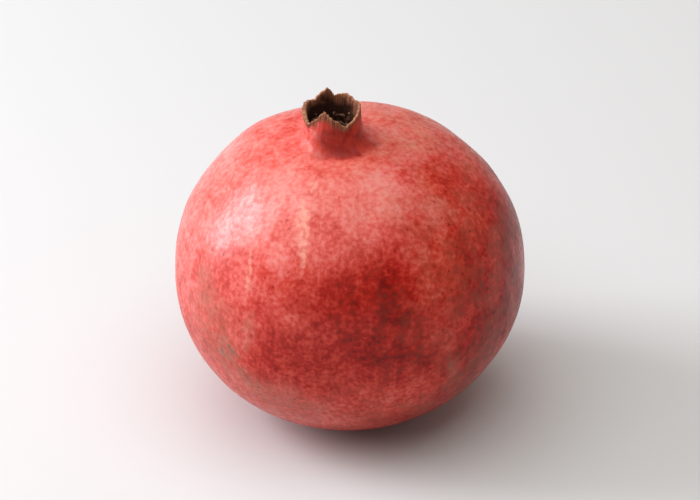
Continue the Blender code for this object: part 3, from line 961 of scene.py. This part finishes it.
# A ring of dried stamens, each a tapered thread with an anther at its tip
def stamenTree(values):
    tree, given, result = newGeometryTree("stamenRing", values)
    ring = place(tree, "GeometryNodeMeshCircle", {"Vertices": given["Count"], "Radius": given["Ring Radius"]})
    tip = combined(tree, x=times(tree, given["Curl"], -1.0), z=given["Length"])
    bend = combined(tree, x=0.1, z=times(tree, given["Length"], 0.62))
    line = place(tree, "GeometryNodeCurveQuadraticBezier", {
        "Resolution": 8, "Start": (0.0, 0.0, 0.0), "Middle": bend, "End": tip})
    along = place(tree, "GeometryNodeSplineParameter").outputs["Factor"]
    thick = times(tree, given["Thread Radius"], fade(tree, along, 0.0, 1.0, 1.0, 0.55, "LINEAR"))
    section = place(tree, "GeometryNodeCurvePrimitiveCircle", {"Resolution": 6, "Radius": 1.0})
    thread = place(tree, "GeometryNodeCurveToMesh", {
        "Curve": line.outputs[0], "Profile Curve": section.outputs[0], "Scale": thick, "Fill Caps": True})
    ball = place(tree, "GeometryNodeMeshUVSphere", {
        "Segments": 10, "Rings": 8, "Radius": given["Anther Size"]})
    anther = place(tree, "GeometryNodeTransform", {
        "Geometry": ball.outputs[0], "Translation": tip, "Rotation": (0.0, -1.0, 0.0),
        "Scale": (0.5, 0.42, 1.0)})
    stamen = tree.nodes.new("GeometryNodeJoinGeometry")
    for part in (thread, anther):
        tree.links.new(part.outputs[0], stamen.inputs[0])

    # Each stamen has its own lean, turn and size
    def chance(low, high, offset):
        node = place(tree, "FunctionNodeRandomValue", data_type="FLOAT")
        limits = [socket for socket in node.inputs if socket.enabled][:2]
        feed(tree, limits[0], low)
        feed(tree, limits[1], high)
        feed(tree, node.inputs["Seed"], calc(tree, "ADD", given["Seed"], float(offset)))
        return next(socket for socket in node.outputs if socket.enabled)

    spot = tree.nodes.new("GeometryNodeInputPosition").outputs[0]
    facing = place(tree, "FunctionNodeAlignRotationToVector", {"Vector": spot}, axis="X", pivot_axis="Z")
    sway = times(tree, given["Untidiness"], -1.0)
    sideways, inwards = chance(sway, given["Untidiness"], 0), chance(times(tree, sway, 0.8), 0.04, 1)
    tilt = combined(tree, x=sideways, y=inwards, z=chance(-0.5, 0.5, 2))
    strewn = place(tree, "GeometryNodeInstanceOnPoints", {
        "Points": ring.outputs[0], "Instance": stamen.outputs[0], "Rotation": facing.outputs[0],
        "Scale": chance(0.86, 1.08, 3)})
    strewn = place(tree, "GeometryNodeRotateInstances", {"Instances": strewn.outputs[0], "Rotation": tilt})
    plain = place(tree, "GeometryNodeRealizeInstances", {"Geometry": strewn.outputs[0]})

    # Lifted to the cup's floor, crumpled, and leaning with the crown
    lift = combined(tree, z=given["Foot Height"])
    raised = place(tree, "GeometryNodeTransform", {"Geometry": plain.outputs[0], "Translation": lift})
    height = separated(tree, spot)["Z"]
    lean = leanAt(tree, height, fruitShape["crownLean"], fruitShape["baseLean"])
    shift = vector(tree, "ADD", combined(tree, x=lean), wander(tree, spot, 1.1, 1.0, given["Crumple"]))
    leaning = place(tree, "GeometryNodeSetPosition", {"Geometry": raised.outputs[0], "Offset": shift})
    softened = place(tree, "GeometryNodeSetShadeSmooth", {"Geometry": leaning.outputs[0]})
    finishTree(tree, softened, given, result)
    return tree


stamenFinish = threadMaterial()
stamenRing = stamenTree({**outerStamens, "Material": stamenFinish})
stamenCount = outerStamens["Count"] + innerStamens["Count"]
# The nodes of the two rings take turns: the odd ones are outside and the even ones inside
for name, sizes, first in (("outer_stamens", outerStamens, 1), ("inner_stamens", innerStamens, 2)):
    ring = bpy.data.objects.new(name, bpy.data.meshes.new(name))
    growInto(ring, stamenRing, {**sizes, "Material": stamenFinish})
    settle(ring, "stamen", *(f"stamen_{i:02d}" for i in range(first, stamenCount + 1, 2)))
print("Stamens set:", stamenCount)

styleShape = {
    "foot": 82.3,
    "top": 86.8,
    "footRadius": 1.05,
    "postRadius": 0.55,
    "knobRadius": 1.0,
    "bend": 0.35,
    "furrows": 5,
    "furrowDepth": 0.10,
    "columns": 28,
}


# The dried style: a furrowed post with a knob, bent a little to one side
def makeStyle():
    s = styleShape
    top, foot, knob, post = s["top"], s["foot"], s["knobRadius"], s["postRadius"]
    profile = [(0.0, top - 0.12), (0.3, top - 0.05)]
    profile += curvePoints(profile[-1], (0.75, top), (knob, top - 0.3), (knob, top - 0.6), 6)
    profile += curvePoints(profile[-1], (knob, top - 1.0), (post, top - 1.0), (post, top - 1.5), 5)
    profile += curvePoints(profile[-1], (post, foot + 2), (0.7, foot + 0.5), (s["footRadius"], foot), 8)
    profile += [(0.5, foot), (0.0, foot)]
    style = turned("dried_style", profile, s["columns"])
    for vertex in style.data.vertices:
        spot = vertex.co
        bearing = math.atan2(spot.y, spot.x)
        share = (spot.z - foot) / (top - foot)
        furrow = 1 + s["furrowDepth"] * math.cos(s["furrows"] * bearing + 3 * share)
        furrow += s["furrowDepth"] / 2 * math.cos(9 * bearing - 4 * share)
        spot.x = spot.x * furrow + axisShift(spot.z) + s["bend"] * share**2
        spot.y = spot.y * furrow - 0.5 * s["bend"] * share**2
    style.data.materials.append(styleMaterial())
    bpy.context.scene.collection.objects.link(style)
    settle(style, "style", "style")


stubShape = {
    "top": 2.1,
    "cut": 0.72,
    "radius": 2.3,
    "flare": 0.25,
    "ridges": 11,
    "ridgeDepth": 0.035,
    "outOfRound": 0.04,
    "columns": 72,
}


# The stub of the stalk in the dimple, with ridged bark and a rough cut end
def makeStub():
    s = stubShape
    top, cut, radius = s["top"], s["cut"], s["radius"]
    wide = radius + s["flare"]
    profile = [(0.0, top), (1.2, top), (2.0, top - 0.05)]
    profile += curvePoints(profile[-1], (wide, top - 0.05), (wide, top - 0.3), (radius, top - 0.6), 6)
    brink = (radius - 0.3, cut + 0.05)
    profile += curvePoints(profile[-1], (radius - 0.1, top - 0.9), (radius - 0.15, cut + 0.2), brink, 6)
    profile += [((radius - 0.35) * (1 - i / 9), cut + 0.06 * i / 9) for i in range(10)]
    stub = turned("cut_stalk", profile, s["columns"])
    fromPith, onCut = [], []
    for vertex in stub.data.vertices:
        spot = vertex.co
        bearing, out = math.atan2(spot.y, spot.x), math.hypot(spot.x, spot.y)
        lower = 1 - smooth(cut + 0.02, cut + 0.2, spot.z)
        fromPith.append(out)
        onCut.append(lower * (1 - smooth(radius - 0.5, radius - 0.3, out)))
        ridge = 1 + s["ridgeDepth"] * math.cos(s["ridges"] * bearing)
        ridge += s["outOfRound"] * math.cos(3 * bearing + 0.6)
        spot.x, spot.y = spot.x * ridge, spot.y * ridge
        spot.z += 0.05 * lower * math.sin(4 * spot.x + 1) * math.cos(5 * spot.y)
        spot.x += axisShift(spot.z)
    addAttribute(stub.data, "fromPith", fromPith)
    addAttribute(stub.data, "onCut", onCut)
    stub.data.materials.append(stalkMaterial())
    bpy.context.scene.collection.objects.link(stub)
    settle(stub, "stalk", "stem_stub")


makeStyle()
makeStub()
print("Style and stalk made")

studio = {
    "floorRadius": 650.0,
    "floorSides": 120,
    "floorColour": (0.67, 0.67, 0.67),
    "skyColour": (1.0, 0.96, 0.90),
    "skyStrength": 0.25,
    "wallStrength": 0.80,  # below eye level, behind the floor's edge
    "horizon": (-0.02, 0.01),
    "elevation": 32.0,
    "cameraDistance": 2400.0,
    "lens": 452.0,
    "lookAt": (0.0, 0.0, 47.0),
}
lamps = {
    "keyLamp": {
        "from": (-0.89, 0.17, 0.42),
        "distance": 900.0,
        "size": (400.0, 700.0),
        "power": 8.9,
        "colour": (0.98, 0.99, 1.06),
    },
    "topLamp": {
        "from": (-0.15, -0.16, 0.96),
        "distance": 1100.0,
        "size": (1500.0, 1500.0),
        "power": 13.2,
        "colour": (1.0, 0.99, 0.97),
    },
}


def addFloor():
    radius, sides = studio["floorRadius"] * mm, studio["floorSides"]
    turns = [2 * math.pi * i / sides for i in range(sides)]
    mesh = bpy.data.meshes.new("floor")
    ring = [(radius * math.cos(turn), radius * math.sin(turn), 0.0) for turn in turns]
    mesh.from_pydata(ring, [], [tuple(range(sides))])
    floor = bpy.data.objects.new("floor", mesh)
    bpy.context.scene.collection.objects.link(floor)
    material = bpy.data.materials.new("floor")
    material.use_nodes = True
    shader = material.node_tree.nodes["Principled BSDF"]
    shader.inputs["Base Color"].default_value = (*studio["floorColour"], 1.0)
    shader.inputs["Roughness"].default_value = 0.9
    shader.inputs["Specular IOR Level"].default_value = 0.1
    mesh.materials.append(material)


# Puts a lamp or the camera some way off from the fruit, looking at it
def aim(thing, direction, distanceOff):
    bpy.context.scene.collection.objects.link(thing)
    thing.location = Vector(studio["lookAt"]) * mm + direction * distanceOff * mm
    thing.rotation_euler = direction.to_track_quat("Z", "Y").to_euler()


def addLamp(name, look):
    light = bpy.data.lights.new(name, "AREA")
    light.color = look["colour"]
    light.shape = "RECTANGLE"
    light.size, light.size_y = (length * mm for length in look["size"])
    light.energy = look["power"]
    aim(bpy.data.objects.new(name, light), Vector(look["from"]).normalized(), look["distance"])


def addCamera():
    lens = bpy.data.cameras.new("camera")
    lens.lens = studio["lens"]
    lens.clip_start = 0.01
    camera = bpy.data.objects.new("camera", lens)
    tilt = math.radians(studio["elevation"])
    aim(camera, Vector((0.0, -math.cos(tilt), math.sin(tilt))), studio["cameraDistance"])
    bpy.context.scene.camera = camera


def addSky():
    world = bpy.data.worlds.new("studio")
    world.use_nodes = True
    tree = world.node_tree
    background = tree.nodes["Background"]
    background.inputs["Color"].default_value = (*studio["skyColour"], 1.0)
    rise = separated(tree, tree.nodes.new("ShaderNodeTexCoord").outputs["Generated"])["Z"]
    strength = fade(tree, rise, *studio["horizon"], studio["wallStrength"], studio["skyStrength"])
    feed(tree, background.inputs["Strength"], strength)
    bpy.context.scene.world = world


addFloor()
for lampName, lampLook in lamps.items():
    addLamp(lampName, lampLook)
addCamera()
addSky()
bpy.context.scene.view_settings.view_transform = "Standard"
bpy.context.scene.view_settings.look = "None"
print("Studio set")
